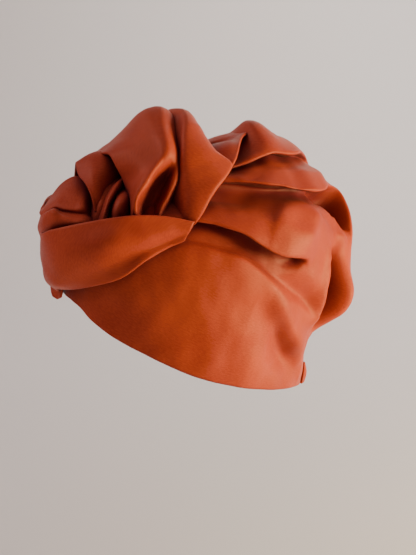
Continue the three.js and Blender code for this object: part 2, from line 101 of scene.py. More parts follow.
# Pleats: where each edge lies over the arch, how high it stands, how far it laps
STATIONS = [0.00, 0.15, 0.30, 0.42, 0.52, 0.60, 0.66, 0.71, 0.75, 0.79, 0.84, 0.92, 1.00]
PLEATS = [
    dict(name="middle_pleat", width=6, side=1,
         seat=[44, 45, 46.5, 42.5, 36.5, 35.3, 33, 28, 25, 22, 19, 16, 14],
         stand=[0, 1, 9, 12, 12, 6, 0, 0, 0, 0, 0, 0, 0],
         lap=[0, 0, 3, 4, 5, 3, 0, 0, 0, 0, 0, 0, 0]),
    dict(name="upper_pleat", width=7, side=1,
         seat=[60, 62, 63.5, 61.2, 56.9, 57.3, 60.5, 68.5, 72, 55, 38, 26, 20],
         stand=[0, 1, 7, 9, 10, 10, 10, 5, 3, 1, 0, 0, 0],
         lap=[0, 0, 3, 4, 4, 5, 5, 3, 2, 1.5, 0, 0, 0]),
    dict(name="top_roll", width=6, side=1,
         seat=[71, 71, 71.3, 68.4, 70.3, 73.4, 80.5, 83, 84, 79, 70, 58, 48],
         stand=[0, 1, 4, 5, 10, 10, 5, 0, 0, 0, 0, 0, 0],
         lap=[0, 0, 3, 4, 5, 5, 3, 0, 0, 0, 0, 0, 0]),
    dict(name="right_top_roll", width=6, side=-1,
         seat=[108, 110, 112, 113, 112, 110, 109, 109, 110, 113, 119, 128, 138],
         stand=[0, 1, 4, 5, 7, 8, 7, 6, 5, 4, 4, 3, 1],
         lap=[0, 0, 3, 4, 4, 4, 3, 1, 0, 0, 0, 0, 0]),
    dict(name="right_upper_pleat", width=7, side=-1,
         seat=[124, 126, 128, 128, 127, 126, 127, 129, 133, 140, 149, 157, 161],
         stand=[0, 1, 5, 8, 9, 10, 10, 9, 9, 8, 7, 4, 2],
         lap=[0, 0, 3, 4, 4, 4, 3, 2, 1, 0, 0, 0, 0]),
    dict(name="right_middle_pleat", width=6, side=-1,
         seat=[140, 142, 142, 143, 146, 149, 151, 153, 155, 158, 162, 166, 168],
         stand=[0, 1, 5, 7, 8, 8, 6, 4, 3, 3, 3, 2, 1],
         lap=[0, 0, 3, 4, 4, 2, 1, 0, 0, 0, 0, 0, 0]),
]
COLUMNS = [62, 26, 26, 40, 26, 26, 46]

# Soft swells and hollows: place, reach and height. One under a pleat fades at its edge.
SWELLS = [
    dict(name="side_bulge", along=0.60, over=43, length=0.06, breadth=8, rise=9, under="upper_pleat"),
    dict(name="bulge_dip", along=0.580, over=45.5, length=0.032, breadth=3.6, rise=-4, under=None),
    dict(name="side_shelf", along=0.42, over=54, length=0.11, breadth=7, rise=-7, under="upper_pleat"),
    dict(name="front_dip", along=0.455, over=94, length=0.05, breadth=20, rise=-10, under=None),
    dict(name="back_foot", along=0.812, over=34, length=0.04, breadth=10, rise=14, under=None),
    dict(name="nape_neck", along=0.885, over=22, length=0.045, breadth=16, rise=-11, under=None),
    dict(name="nape_waist", along=0.812, over=17, length=0.055, breadth=8, rise=-8, under=None),
    dict(name="right_back_foot", along=0.82, over=148, length=0.03, breadth=14, rise=4, under=None),
    dict(name="right_nape_neck", along=0.895, over=156, length=0.045, breadth=20, rise=-10, under=None),
]

# Creases and ridges. A row is one point of the line: where it lies, how high the cloth
# stands there, and how wide the line is on its hem side and on its top side, in mm.
CREASES = [
    dict(name="peak_ridge", under=None, rows=[
        (0.540, 68, 1, 10, 7), (0.522, 78, 6, 14, 7), (0.520, 86, 9.5, 15, 7),
        (0.540, 93, 7, 14, 8), (0.570, 100, 1, 12, 9)]),
    dict(name="back_hollow", under="upper_pleat", rows=[
        (0.680, 61.5, -6, 9, 6), (0.705, 65.5, -17, 13, 6), (0.730, 68.5, -24, 17, 5),
        (0.748, 67.5, -26, 18, 4.5), (0.760, 64, -23, 15, 4.5),
        (0.770, 60, -17, 10, 4.5), (0.774, 57, -3, 7, 5)]),
    dict(name="outer_roll", under=None, rows=[
        (0.700, 77, 0, 8, 8), (0.730, 76.5, 1, 8, 8), (0.755, 73, 4.5, 9, 10), (0.780, 63, 5.5, 9, 10),
        (0.800, 53, 4, 9, 10), (0.825, 43, 1.5, 8, 9)]),
    dict(name="valley_lip", under=None, rows=[
        (0.700, 44, 0, 5, 4), (0.722, 41, 1.5, 6, 4), (0.738, 37, 4, 7, 4), (0.745, 32, 4.5, 7, 4),
        (0.750, 27.5, 4.5, 7, 4), (0.750, 22.5, 2, 6, 4)]),
    dict(name="pleat_pocket", under="middle_pleat", rows=[
        (0.400, 42.0, -1, 5, 5), (0.470, 39.0, -4, 5, 5), (0.515, 35.8, -6, 5, 5), (0.544, 34.5, -7, 5, 4),
        (0.574, 34.3, -9, 5, 4), (0.600, 35.2, -9, 5, 4), (0.620, 36.8, -4, 4, 4)]),
    dict(name="side_groove", under=None, rows=[
        (0.310, 39.5, -0.5, 2, 3), (0.348, 39.1, -2, 2, 3),
        (0.397, 37.6, -3, 2, 3), (0.459, 35.2, -4, 2, 4),
        (0.505, 31.9, -5, 2.5, 4), (0.558, 28.5, -6, 3, 5), (0.620, 26.5, -7, 4, 6),
        (0.692, 25.1, -7, 4, 6), (0.735, 23.6, -2, 4, 6)]),
    dict(name="upper_undercut", under="upper_pleat", rows=[
        (0.330, 63.0, -3, 7, 5), (0.400, 61.0, -5, 8, 5), (0.500, 57.2, -5, 9, 5), (0.600, 57.5, -6, 9, 5),
        (0.650, 60.5, -8, 9, 5), (0.680, 64.0, -9, 9, 5)]),
    dict(name="top_undercut", under="top_roll", rows=[
        (0.400, 67.5, -1, 5, 5), (0.500, 69.5, -1.5, 6, 5),
        (0.600, 72.5, -2, 7, 5), (0.660, 78.0, -1, 6, 5)]),
    dict(name="side_ridge", under=None, rows=[
        (0.300, 36.0, 1, 9, 5), (0.400, 34.5, 1.5, 9, 6), (0.505, 28.5, 1.5, 10, 7),
        (0.600, 23.5, 1, 9, 7), (0.690, 21.5, 0, 8, 7)]),
    dict(name="back_valley", under=None, rows=[
        (0.740, 46.5, -3, 7, 5), (0.757, 43, -12, 8, 5), (0.766, 38, -22, 8, 5.5), (0.774, 33, -25, 8, 5.5),
        (0.783, 28, -20, 7, 5.5), (0.790, 23, -7, 6, 6)]),
    dict(name="nape_valley", under=None, rows=[
        (0.500, 20.5, -0.5, 10, 6), (0.540, 18.4, -2.5, 12, 6),
        (0.580, 15.8, -5, 12, 6), (0.630, 12.8, -10, 11, 6),
        (0.685, 9.6, -11, 9, 6), (0.740, 6.6, -6, 8, 6), (0.790, 4.5, -0.5, 7, 6)]),
    dict(name="nape_ridge", under=None, rows=[
        (0.540, 23.5, 0.5, 6, 8), (0.571, 21.2, 2, 6, 8), (0.620, 17.4, 3, 5, 8), (0.662, 14.5, 3, 5, 8),
        (0.705, 12.1, 2, 4, 7), (0.760, 9.0, 0.5, 4, 6)]),
    dict(name="nape_dip", under=None, rows=[
        (0.610, 21.5, -0.5, 5, 6), (0.650, 20.3, -2.5, 6, 7),
        (0.700, 18.3, -3, 6, 7), (0.745, 17.0, -2, 6, 7)]),
    dict(name="bulge_crest", under="upper_pleat", rows=[
        (0.508, 42.0, 1, 6, 3.5), (0.518, 45.0, 3, 7, 3.5),
        (0.540, 48.5, 4.5, 8, 3.5), (0.574, 50.5, 5, 9, 4),
        (0.607, 51.0, 5, 9, 4), (0.646, 49, 4.5, 9, 4), (0.689, 47.5, 3, 8, 4), (0.735, 48.5, 3, 6, 4),
        (0.760, 51.5, 4, 6, 5), (0.785, 54, 2, 6, 6)]),
]

# Folded strips: a row is one section across the strip, a column one line along it
STRIPS = {
    "front_band": dict(
        wall=BAND_WALL,
        columns=["lower edge", "lower side", "upper side", "upper edge"],
        sections=[
            [(-70, 6, 62), (-74, 6, 72), (-74, 6, 82), (-68, 6, 90)],
            [(-70, -28, 50), (-79, -29, 60), (-79, -29, 74), (-71, -28, 86)],
            [(-61, -58, 36), (-72, -61, 48), (-71, -61, 62), (-63, -60, 78)],
            [(-41.5, -82.5, 25), (-52, -91, 38), (-50, -93, 54), (-46, -89, 70)],
            [(-20, -96.5, 19), (-23, -106, 30), (-22, -107, 48), (-23, -107, 66)],
            [(-2, -108, 26), (-2, -114, 33), (-2, -116, 51), (-5, -117, 65)],
            [(8, -105, 27), (12, -112, 34), (18, -115, 53), (12, -117, 71)],
            [(31, -93, 34), (32, -96, 42), (38, -102, 61), (32, -101, 78)],
            [(46, -81, 41), (45, -83, 51), (50, -87, 67), (45, -86, 82)],
            [(55, -67, 53), (53, -67, 60), (56, -70, 70), (52, -70, 83)],
            [(58, -50, 61), (57, -51, 65), (60, -53, 73), (57, -51, 81)],
            [(62, -39, 65), (63, -37, 69), (64, -35, 73), (63, -32, 76)],
        ]),
    "crossing_sash": dict(
        wall=PETAL_WALL,
        columns=["outer edge", "middle", "inner edge"],
        sections=[
            [(58, -37, 66), (58, -38, 67), (57, -38, 69)],
            [(58, -25, 80), (53, -29, 81), (50, -33, 81)],
            [(56, -8, 98), (48, -12, 100), (40, -19, 100)],
            [(50, 10, 113), (41, 6, 115), (27, -1, 117)],
            [(39, 22, 121), (29, 19, 123), (12, 12, 118)],
            [(23, 36, 126), (8, 34, 120), (-8, 24, 116)],
            [(9, 49, 127), (-4, 36, 121), (-14, 20, 115)],
            [(-16, 50, 121), (-20, 34, 118), (-24, 16, 113)],
            [(-36, 42, 110), (-36, 26, 109), (-36, 10, 107)],
            [(-55, 20, 100), (-55, 6, 101), (-50, -8, 102)],
            [(-70, 2, 84), (-70, -12, 84), (-66, -22, 88)],
        ]),
    "rosette_back_petal": dict(
        wall=PETAL_WALL,
        columns=["inner edge", "crease", "ridge", "outer side", "tucked edge"],
        sections=[
            [(52, -43, 75), (55, -40, 75), (57, -36, 74), (58, -31, 73), (58, -32, 71)],
            [(38, -42, 79), (48, -37, 82), (57, -33, 85), (62, -26, 82), (58, -27, 80)],
            [(33, -34, 95), (45, -33, 99), (53, -28, 102), (62, -13, 100), (56, -11, 97)],
            [(25, -28, 110), (38, -28, 114), (46, -25, 117), (54, 4, 113), (48, 5, 111)],
            [(18, -23, 125), (31, -24, 129), (37, -20, 132), (42, -2, 123), (36, 5, 115)],
            [(8, -20, 138), (18, -16, 139), (24, -12, 142), (25, -2, 135), (20, 8, 118)],
            [(-5, -14, 145), (-2, -8, 147), (4, -3, 147), (6, 3, 141), (2, 14, 116)],
            [(-22, -22, 125), (-22, -2, 137), (-19, 12, 133), (-14, 20, 124), (-15, 22, 111)],
            [(-42, -26, 108), (-42, -2, 121), (-40, 10, 120), (-34, 20, 116), (-33, 21, 106)],
            [(-58, -28, 91), (-58, -8, 103), (-57, 6, 104), (-51, 15, 102), (-50, 15, 97)],
            [(-66, -28, 74), (-67, -14, 77), (-67, -3, 77), (-66, 4, 78), (-65, 5, 76)],
        ]),
    "rosette_tall_petal": dict(
        wall=PETAL_WALL,
        columns=["left edge", "face", "ridge", "pocket left", "pocket right", "lip", "right edge"],
        sections=[
            [(-62, -66, 72), (-67, -52, 74), (-68, -40, 77), (-68, -30, 78),
             (-67, -22, 79), (-65, -14, 81), (-61, -6, 84)],
            [(-42, -68, 98), (-46, -56, 106), (-47, -40, 112), (-46, -30, 114),
             (-43, -22, 115), (-39, -16, 115), (-34, -10, 113)],
            [(-26, -64, 114), (-27, -53, 119), (-27, -39, 127), (-26, -30, 131),
             (-24, -22, 131), (-22, -17, 130), (-20, -12, 126)],
            [(-10, -67, 118), (-6, -50, 130), (-2, -35, 146),
             (-1, -27, 149), (1, -21, 149), (3, -15, 145), (4, -11, 135)],
            [(6, -67, 121), (14, -56, 126), (20, -43, 135), (23, -37, 138),
             (24, -31, 139), (23, -23, 134), (21, -19, 127)],
            [(16, -66, 113), (29, -57, 117), (38, -46, 121), (41, -42, 122),
             (41, -37, 122), (38, -29, 118), (32, -24, 111)],
            [(20, -62, 103), (34, -60, 106), (46, -58, 109), (37, -48, 105),
             (34, -36, 104), (45, -36, 106), (38, -29, 101)],
            [(24, -61, 92), (36, -65, 95), (48, -68, 98), (37, -57, 93),
             (35, -45, 92), (47, -43, 95), (42, -37, 91)],
            [(26, -60, 83), (36, -66, 86), (47, -70, 89), (38, -62, 85),
             (36, -51, 83), (47, -49, 86), (43, -42, 83)],
            [(24, -59, 72), (37, -65, 74), (43, -68, 76), (36, -58, 72),
             (35, -52, 71), (45, -53, 74), (42, -47, 73)],
        ]),
    "rosette_left_petal": dict(
        wall=PETAL_WALL,
        columns=["back edge", "face", "groove top", "groove", "ridge", "front", "lower edge"],
        sections=[
            [(-55, -60, 82), (-56, -61, 79), (-56, -62, 76), (-56, -62, 73),
             (-56, -62, 70), (-56, -62, 66), (-56, -62, 60)],
            [(-48, -82, 84), (-48, -84, 80), (-48, -86, 77), (-47, -87, 74),
             (-46, -88, 70), (-46, -88, 65), (-46, -88, 60)],
            [(-34, -98, 84), (-32, -100, 82), (-30, -102, 80), (-28, -103, 76),
             (-26, -106, 72), (-26, -108, 66), (-26, -106, 60)],
            [(-22, -106, 80), (-18, -110, 79), (-14, -112, 79),
             (-10, -113, 78), (-8, -114, 77), (-8, -115, 71), (-9, -114, 62)],
            [(-22, -100, 87), (-10, -104, 87), (-4, -106, 85),
             (-4, -107, 83), (4, -113, 84), (4, -114, 76), (1, -114, 64)],
            [(-22, -90, 96), (-8, -96, 92), (2, -103, 85), (1, -104, 82),
             (10, -109, 81), (11, -110, 75), (6, -106, 69)],
            [(-18, -83, 101), (-4, -88, 94), (8, -97, 85), (7, -99, 81),
             (16, -103, 79), (17, -104, 75), (12, -100, 71)],
            [(-14, -78, 100), (-2, -81, 93), (11, -91, 85),
             (12, -92, 80), (20, -96, 78), (21, -96, 75), (16, -92, 72)],
            [(-14, -74, 95), (-6, -74, 87), (4, -80, 82), (10, -85, 78),
             (15, -85, 74), (17, -85, 71), (14, -82, 67)],
        ]),
    "rosette_tab_petal": dict(
        wall=PETAL_WALL,
        columns=["left edge", "left side", "right side", "right edge"],
        sections=[
            [(-55, -73, 73), (-53, -62, 82), (-50, -50, 90), (-46, -38, 96)],
            [(-36, -74, 92), (-32, -63, 105), (-28, -50, 113), (-24, -38, 118)],
            [(-16, -82, 112), (-12, -73, 117), (-8, -64, 119), (-4, -58, 117)],
            [(-4, -86, 106), (4, -80, 110), (6, -71, 111), (4, -61, 109)],
            [(6, -86, 101), (12, -82, 101), (10, -72, 101), (4, -58, 100)],
            [(13, -85, 93), (15, -80, 92), (12, -72, 91), (8, -60, 92)],
            [(16, -84, 82), (16, -79, 80), (14, -72, 79), (12, -64, 79)],
        ]),
    "rosette_core_right": dict(
        wall=CORE_WALL,
        columns=["left edge", "left side", "right side", "right edge"],
        sections=[
            [(18, -76, 71), (32, -77, 74), (34, -70, 73), (28, -60, 71)],
            [(16, -74, 81), (32, -77, 85), (34, -70, 86), (26, -60, 82)],
            [(12, -68, 88), (27, -72, 92), (30, -67, 93), (22, -58, 89)],
            [(4, -58, 92), (14, -62, 95), (16, -59, 96), (12, -53, 93)],
        ]),
    "rosette_core_roll": dict(
        wall=CORE_WALL,
        columns=["left edge", "ridge", "right edge"],
        sections=[
            [(20, -85, 73), (28, -85, 74), (26, -80, 73)],
            [(18, -81, 82), (28, -83, 85), (24, -78, 84)],
            [(14, -75, 91), (25, -77, 94), (20, -71, 93)],
            [(8, -64, 99), (19, -67, 101), (14, -61, 98)],
            [(-2, -51, 102), (8, -54, 104), (6, -51, 101)],
        ]),
    "rosette_core_left": dict(
        wall=CORE_WALL,
        columns=["left edge", "ridge", "right edge"],
        sections=[
            [(8, -90, 74), (16, -86, 75), (22, -79, 75)],
            [(2, -83, 82), (16, -82, 87), (20, -76, 87)],
            [(-4, -76, 91), (10, -76, 96), (14, -69, 97)],
            [(-12, -67, 96), (0, -65, 102), (6, -59, 102)],
        ]),
    "hem_tab": dict(
        wall=CORE_WALL,
        columns=["left edge", "middle", "right edge"],
        sections=[
            [(-10, -103, 30), (-18, -103, 30), (-26, -100, 30)],
            [(-12, -99, 22), (-18, -100, 20), (-24, -101, 18)],
            [(-14, -99, 14), (-18, -99, 12), (-22, -101, 13)],
        ]),
}


def table_curve(xs, ys, x, limited=True):
    """Smooth curve through a short table. With limited slopes it never overshoots."""
    xs, ys = np.asarray(xs, float), np.asarray(ys, float)
    x = np.clip(np.asarray(x, float), xs[0], xs[-1])
    step = np.diff(xs)
    rate = np.diff(ys) / step
    slope = np.zeros(len(xs))
    slope[0], slope[-1] = rate[0], rate[-1]
    for i in range(1, len(xs) - 1):
        if not limited:
            slope[i] = (step[i] * rate[i - 1] + step[i - 1] * rate[i]) / (step[i] + step[i - 1])
        elif rate[i - 1] * rate[i] > 0:
            w1, w2 = 2 * step[i] + step[i - 1], step[i] + 2 * step[i - 1]
            slope[i] = (w1 + w2) / (w1 / rate[i - 1] + w2 / rate[i])
    i = np.clip(np.searchsorted(xs, x, side="right") - 1, 0, len(xs) - 2)
    h = step[i]
    t = (x - xs[i]) / h
    start = (1 + 2 * t) * (1 - t) ** 2 * ys[i] + t * (1 - t) ** 2 * h * slope[i]
    end = t * t * (3 - 2 * t) * ys[i + 1] + t * t * (t - 1) * h * slope[i + 1]
    return start + end


def gentle(table, key, x, by="along"):
    return table_curve(table[by], table[key], x)


def rounded(table, key, x):
    return table_curve(table["along"], table[key], x, limited=False)


def smoothstep(t):
    t = np.clip(t, 0, 1)
    return t * t * (3 - 2 * t)


def crown_point(along, over):
    """Point of the smooth crown: along 0 front to 1 nape, over 0 to 180 degrees."""
    turn = np.radians(gentle(ARCHES, "turn", along))
    top_y, top_z = rounded(ARCHES, "top_y", along), rounded(ARCHES, "top_z", along)
    puff, tuck = gentle(ARCHES, "puff", along), gentle(ARCHES, "tuck", along)
    left = gentle(HEM_LEFT, "height", np.degrees(turn), by="turn")
    right = gentle(HEM_RIGHT, "height", np.degrees(turn), by="turn")
    hem_x = np.maximum(HEAD_HALF_WIDTH * np.sin(turn), SEAM_HALF_WIDTH)
    hem_y = -HEAD_HALF_LENGTH * np.cos(turn)
    angle = np.radians(over)
    across, rise = np.cos(angle), np.clip(np.sin(angle), 0, 1)
    hem_z = np.where(across >= 0, left, right)
    reach = hem_x + puff * np.abs(np.sin(2 * angle))
    x = reach * np.sign(across) * np.abs(across) ** ARCH_SQUARENESS
    y = hem_y + (top_y - hem_y) * rise ** tuck
    z = hem_z + (top_z - hem_z) * rise
    return np.stack(np.broadcast_arrays(x, y, z), -1)


def grid_normals(grid, inside):
    """Unit normals of a grid of points, on the side away from a point inside."""
    normal = np.cross(np.gradient(grid, axis=0), np.gradient(grid, axis=1))
    normal /= np.maximum(np.linalg.norm(normal, axis=-1, keepdims=True), TINY)
    vote = np.sign(((grid - inside) * normal).sum(-1)).mean()
    return normal if vote > 0 else -normal


def crown_angles(along):
    """Where each column of the crown lies over the arch, and where the pleats' seats lie."""
    seats = [np.zeros(len(along))]
    seats += [table_curve(STATIONS, pleat["seat"], along, limited=False) for pleat in PLEATS]
    seats.append(np.full(len(along), 180.0))
    angles = []
    for i, count in enumerate(COLUMNS):
        share = (np.arange(count) / count)[:, None]
        angles.append(seats[i] * (1 - share) + seats[i + 1] * share)
    return np.concatenate(angles + [seats[-1][None]]), np.array(seats)


def nearest_on_line(points, u, v):
    """Place on a line of points, counted in points, and signed distance to it."""
    nearest, place, side = np.full(u.shape, 1e9), np.zeros(u.shape), np.ones(u.shape)
    for i in range(len(points) - 1):
        a, d = points[i], points[i + 1] - points[i]
        t = np.clip(((u - a[0]) * d[0] + (v - a[1]) * d[1]) / max(d @ d, TINY), 0, 1)
        du, dv = u - a[0] - t * d[0], v - a[1] - t * d[1]
        distance = np.hypot(du, dv)
        closer = distance < nearest
        place = np.where(closer, i + t, place)
        side = np.where(closer, np.sign(d[0] * dv - d[1] * du), side)
        nearest = np.minimum(distance, nearest)
    return place, side * nearest


def crease_lift(rows, along, over):
    """How far one crease or ridge moves the cloth outward."""
    fine = through_points(rows, CREASE_STEPS)
    line = fine[:, :2] * (CROWN_LENGTH, MM_PER_DEGREE)
    place, gap = nearest_on_line(line, along * CROWN_LENGTH, over * MM_PER_DEGREE)
    rise, below, above = (np.interp(place, np.arange(len(fine)), fine[:, k]) for k in (2, 3, 4))
    return rise * np.exp(-(gap / np.where(gap > 0, above, below)) ** 2)


def swell_lift(along, over, cover=None):
    """How far the soft swells move the cloth outward. cover: how much of each pleat lies over it."""
    lift = np.zeros(np.broadcast(along, over).shape)
    for swell in SWELLS:
        far_along = (along - swell["along"]) / swell["length"]
        far_over = (over - swell["over"]) / swell["breadth"]
        shown = 1 - cover[swell["under"]] if cover and swell["under"] else 1
        lift += swell["rise"] * np.exp(-(far_along ** 2 + far_over ** 2)) * shown
    return lift


def soft_wrinkles(grid, normals, rise, seed):
    """The grid with the slight unevenness of worn cloth."""
    random = np.random.default_rng(seed)
    lift = np.zeros(grid.shape[:2])
    for wavelength in WRINKLE_LENGTHS:
        for _ in range(WRINKLE_WAVES):
            direction = random.normal(size=3)
            direction *= 2 * np.pi / wavelength / np.linalg.norm(direction)
            bend = WRINKLE_BEND * np.sin(grid @ direction[::-1] / WRINKLE_BEND_STRETCH)
            share = wavelength / WRINKLE_LENGTHS[0]
            lift += share * np.sin(grid @ direction + bend + random.uniform(0, 2 * np.pi))
    return grid + normals * rise * lift[..., None]


def crown_grid():
    """The crown's outer face, folded along its pleats."""
    along = np.interp(np.linspace(0, 1, CROWN_ROWS), ROWS_SHARE["share"], ROWS_SHARE["along"])
    angle, seats = crown_angles(along)
    shift, lift, cover = np.zeros_like(angle), np.zeros_like(angle), {}
    for j, pleat in enumerate(PLEATS):
        side = pleat["side"]
        stand = table_curve(STATIONS, pleat["stand"], along)
        lap = table_curve(STATIONS, pleat["lap"], along)
        from_edge = side * (angle - seats[j + 1])
        across = from_edge / pleat["width"]
        shift += np.where(np.abs(across) < 1, -side * lap * np.sin(np.pi * across), 0)
        following = seats[j + 2] if side > 0 else seats[j]
        reach = np.maximum(np.abs(following - seats[j + 1]), pleat["width"])
        cover[pleat["name"]] = smoothstep(across + 0.5)
        lift += stand * cover[pleat["name"]] * (1 - smoothstep(from_edge / reach))
    over = np.clip(angle + shift, 0, 180)
    lift += swell_lift(along, over, cover)
    for crease in CREASES:
        shown = 1 - cover[crease["under"]] if crease["under"] else 1
        lift += crease_lift(crease["rows"], along, over) * shown
    upright = grid_normals(crown_point(along, angle), CROWN_INSIDE)
    grid = crown_point(along, over) + upright * lift[..., None]
    normals = grid_normals(grid, CROWN_INSIDE)
    for row in (0, -1):
        grid[:, row, 0] = crown_point(along, angle)[:, row, 0]
        normals[:, row, 0] = 0
    return grid, normals


def through_points(points, steps):
    """Catmull-Rom curve through rows of points, with the ends carried on."""
    points = np.asarray(points, float)
    q = np.concatenate([2 * points[:1] - points[1:2], points, 2 * points[-1:] - points[-2:-1]])
    at = np.linspace(0, len(points) - 1, (len(points) - 1) * steps + 1)
    k = np.clip(np.floor(at).astype(int), 0, len(points) - 2)
    t = (at - k).reshape((-1,) + (1,) * (points.ndim - 1))
    a, b, c, d = q[k], q[k + 1], q[k + 2], q[k + 3]
    square, cube = 2 * a - 5 * b + 4 * c - d, 3 * b - a - 3 * c + d
    return 0.5 * (2 * b + (c - a) * t + square * t ** 2 + cube * t ** 3)


def strip_grid(strip):
    """The middle surface of a strip, smooth through its sections."""
    lines = through_points(strip["sections"], STEPS_ALONG)
    return np.swapaxes(through_points(np.swapaxes(lines, 0, 1), STEPS_ACROSS), 0, 1)


# Meshes

def edge_roll(middle, normals, half, last):
    """Rows of points round one rounded edge of a sheet, from its outer face to its inner one."""
    edge, inner = (-1, -2) if last else (0, 1)
    side = middle[:, edge] - middle[:, inner]
    side /= np.maximum(np.linalg.norm(side, axis=-1, keepdims=True), TINY)
    turns = np.linspace(0, math.pi, EDGE_STEPS + 2)[1:-1]
    rolls = [middle[:, edge] + half * (normals[:, edge] * math.cos(t) + side * math.sin(t)) for t in turns]
    return np.stack(rolls, axis=1)


def sheet_faces(rows, columns):
    """Faces of a closed sheet whose rows of points run round its wall, with both ends capped."""
    low = columns + EDGE_STEPS
    count = 2 * low
    faces = []
    for i in range(rows - 1):
        for j in range(count):
            n = (j + 1) % count
            faces.append((i * count + j, i * count + n, (i + 1) * count + n, (i + 1) * count + j))
    for i, flip in ((0, False), (rows - 1, True)):
        base = i * count
        back = base + low + columns - 1
        for j in range(columns - 1):
            face = (base + j, back - j, back - j - 1, base + j + 1)
            faces.append(face[::-1] if flip else face)
        right = list(range(base + columns - 1, base + low + 1))
        left = list(range(back, back + EDGE_STEPS + 1)) + [base]
        for cap in (right, left):
            faces.append(tuple(cap) if flip else tuple(cap[::-1]))
    return faces


def thick_sheet(name, grid, normals, wall, outer_at=0.5):
    """Closed sheet of a given wall, its edges rounded. outer_at: share of the wall outside the grid."""
    half = wall / 2
    middle = grid + normals * wall * (outer_at - 0.5)
    outer, inner = middle + normals * half, middle - normals * half
    last_edge = edge_roll(middle, normals, half, last=True)
    first_edge = edge_roll(middle, normals, half, last=False)
    ring = np.concatenate([outer, last_edge, inner[:, ::-1], first_edge[:, ::-1]], axis=1)
    mesh = bpy.data.meshes.new(name)
    mesh.from_pydata((ring.reshape(-1, 3) * MM).tolist(), [], sheet_faces(*grid.shape[:2]))
    across = np.linalg.norm(np.diff(ring, axis=1, prepend=ring[:, :1]), axis=-1).cumsum(1)
    along = np.linalg.norm(np.diff(ring, axis=0, prepend=ring[:1]), axis=-1).cumsum(0)
    thread = mesh.attributes.new("thread", "FLOAT_VECTOR", "POINT")
    thread.data.foreach_set("vector", np.stack([across, along, 0 * along], -1).ravel())
    mesh.validate()
    mesh.shade_smooth()
    piece = bpy.data.objects.new(name, mesh)
    bpy.context.scene.collection.objects.link(piece)
    face_outward(mesh)
    return piece


def face_outward(mesh):
    """Turns every face's normal outward."""
    shape = bmesh.new()
    shape.from_mesh(mesh)
    bmesh.ops.recalc_face_normals(shape, faces=shape.faces)
    shape.to_mesh(mesh)
    shape.free()


# The satin's threads, in mm: their pitch and height, and how their slubs run
THREAD_PITCH = 0.45
THREAD_HEIGHT = 0.12
THREAD_BUMP = 0.35
THREAD_WANDER = 0.6
SLUB_SCALE = (0.35, 1.0, 1)
SLUB_NOISE = {"Scale": 1, "Detail": 4}
SLUB_HEIGHT = 3.0
# A wave texture of scale 1 turns this many radians in one unit
WAVE_TURN = 20

# The satin's gloss, its lighter and darker tones, and how strongly they vary
SATIN_GLOSS = {
    "Roughness": 0.43,
    "Specular IOR Level": 0.33,
    "Specular Tint": (1, 0.45, 0.22, 1),
    "Sheen Weight": 0.06,
    "Sheen Roughness": 0.4,
    "Sheen Tint": (1, 0.45, 0.25, 1),
}
TONES = [(0.3, (0.42, 0.044, 0.020, 1)), (0.7, (0.58, 0.074, 0.028, 1))]
PATCH_NOISE = {"Scale": 22, "Detail": 4}
GRAIN = 0.35

# Painted shade in the folds: the dark tone painted where the cloth is sunk, how far from it the painted shade
# still darkens the cloth, and the range it covers
PAINTED_SHADE_TONE = (0.13, 0.015, 0.019, 1)
PAINTED_SHADE_REACH = 30.0
PAINTED_SHADE_SAMPLES = 8
PAINTED_SHADE_RANGE = {"From Min": 0.31, "From Max": 0.86}

# Sockets of the node that mixes two colours
MIX_SHARE, MIX_FIRST, MIX_SECOND, MIX_RESULT = 0, 6, 7, 2


def add_node(tree, kind, settings=None, inputs=None):
    """A new node with the given settings, and with the given values on its inputs."""
    node = tree.nodes.new(kind)
    for name, value in (settings or {}).items():
        setattr(node, name, value)
    for socket, value in (inputs or {}).items():
        node.inputs[socket].default_value = value
    return node


def satin_threads(tree):
    """Outputs that say how the threads' slubs vary and how high the weave stands."""
    thread = add_node(tree, "ShaderNodeAttribute", {"attribute_name": "thread"})
    stretch = add_node(tree, "ShaderNodeMapping", inputs={"Scale": SLUB_SCALE})
    tree.links.new(thread.outputs["Vector"], stretch.inputs["Vector"])
    slubs = add_node(tree, "ShaderNodeTexNoise", inputs=SLUB_NOISE)
    tree.links.new(stretch.outputs["Vector"], slubs.inputs["Vector"])
    weave = add_node(tree, "ShaderNodeMath", {"operation": "MULTIPLY"})
    pitch = {"Scale": 2 * math.pi / (WAVE_TURN * THREAD_PITCH), "Distortion": THREAD_WANDER}
    for factor, direction in enumerate(("X", "Y")):
        wave = add_node(tree, "ShaderNodeTexWave", {"bands_direction": direction}, pitch)
        tree.links.new(thread.outputs["Vector"], wave.inputs["Vector"])
        tree.links.new(wave.outputs["Fac"], weave.inputs[factor])
    return slubs.outputs["Fac"], weave.outputs["Value"]


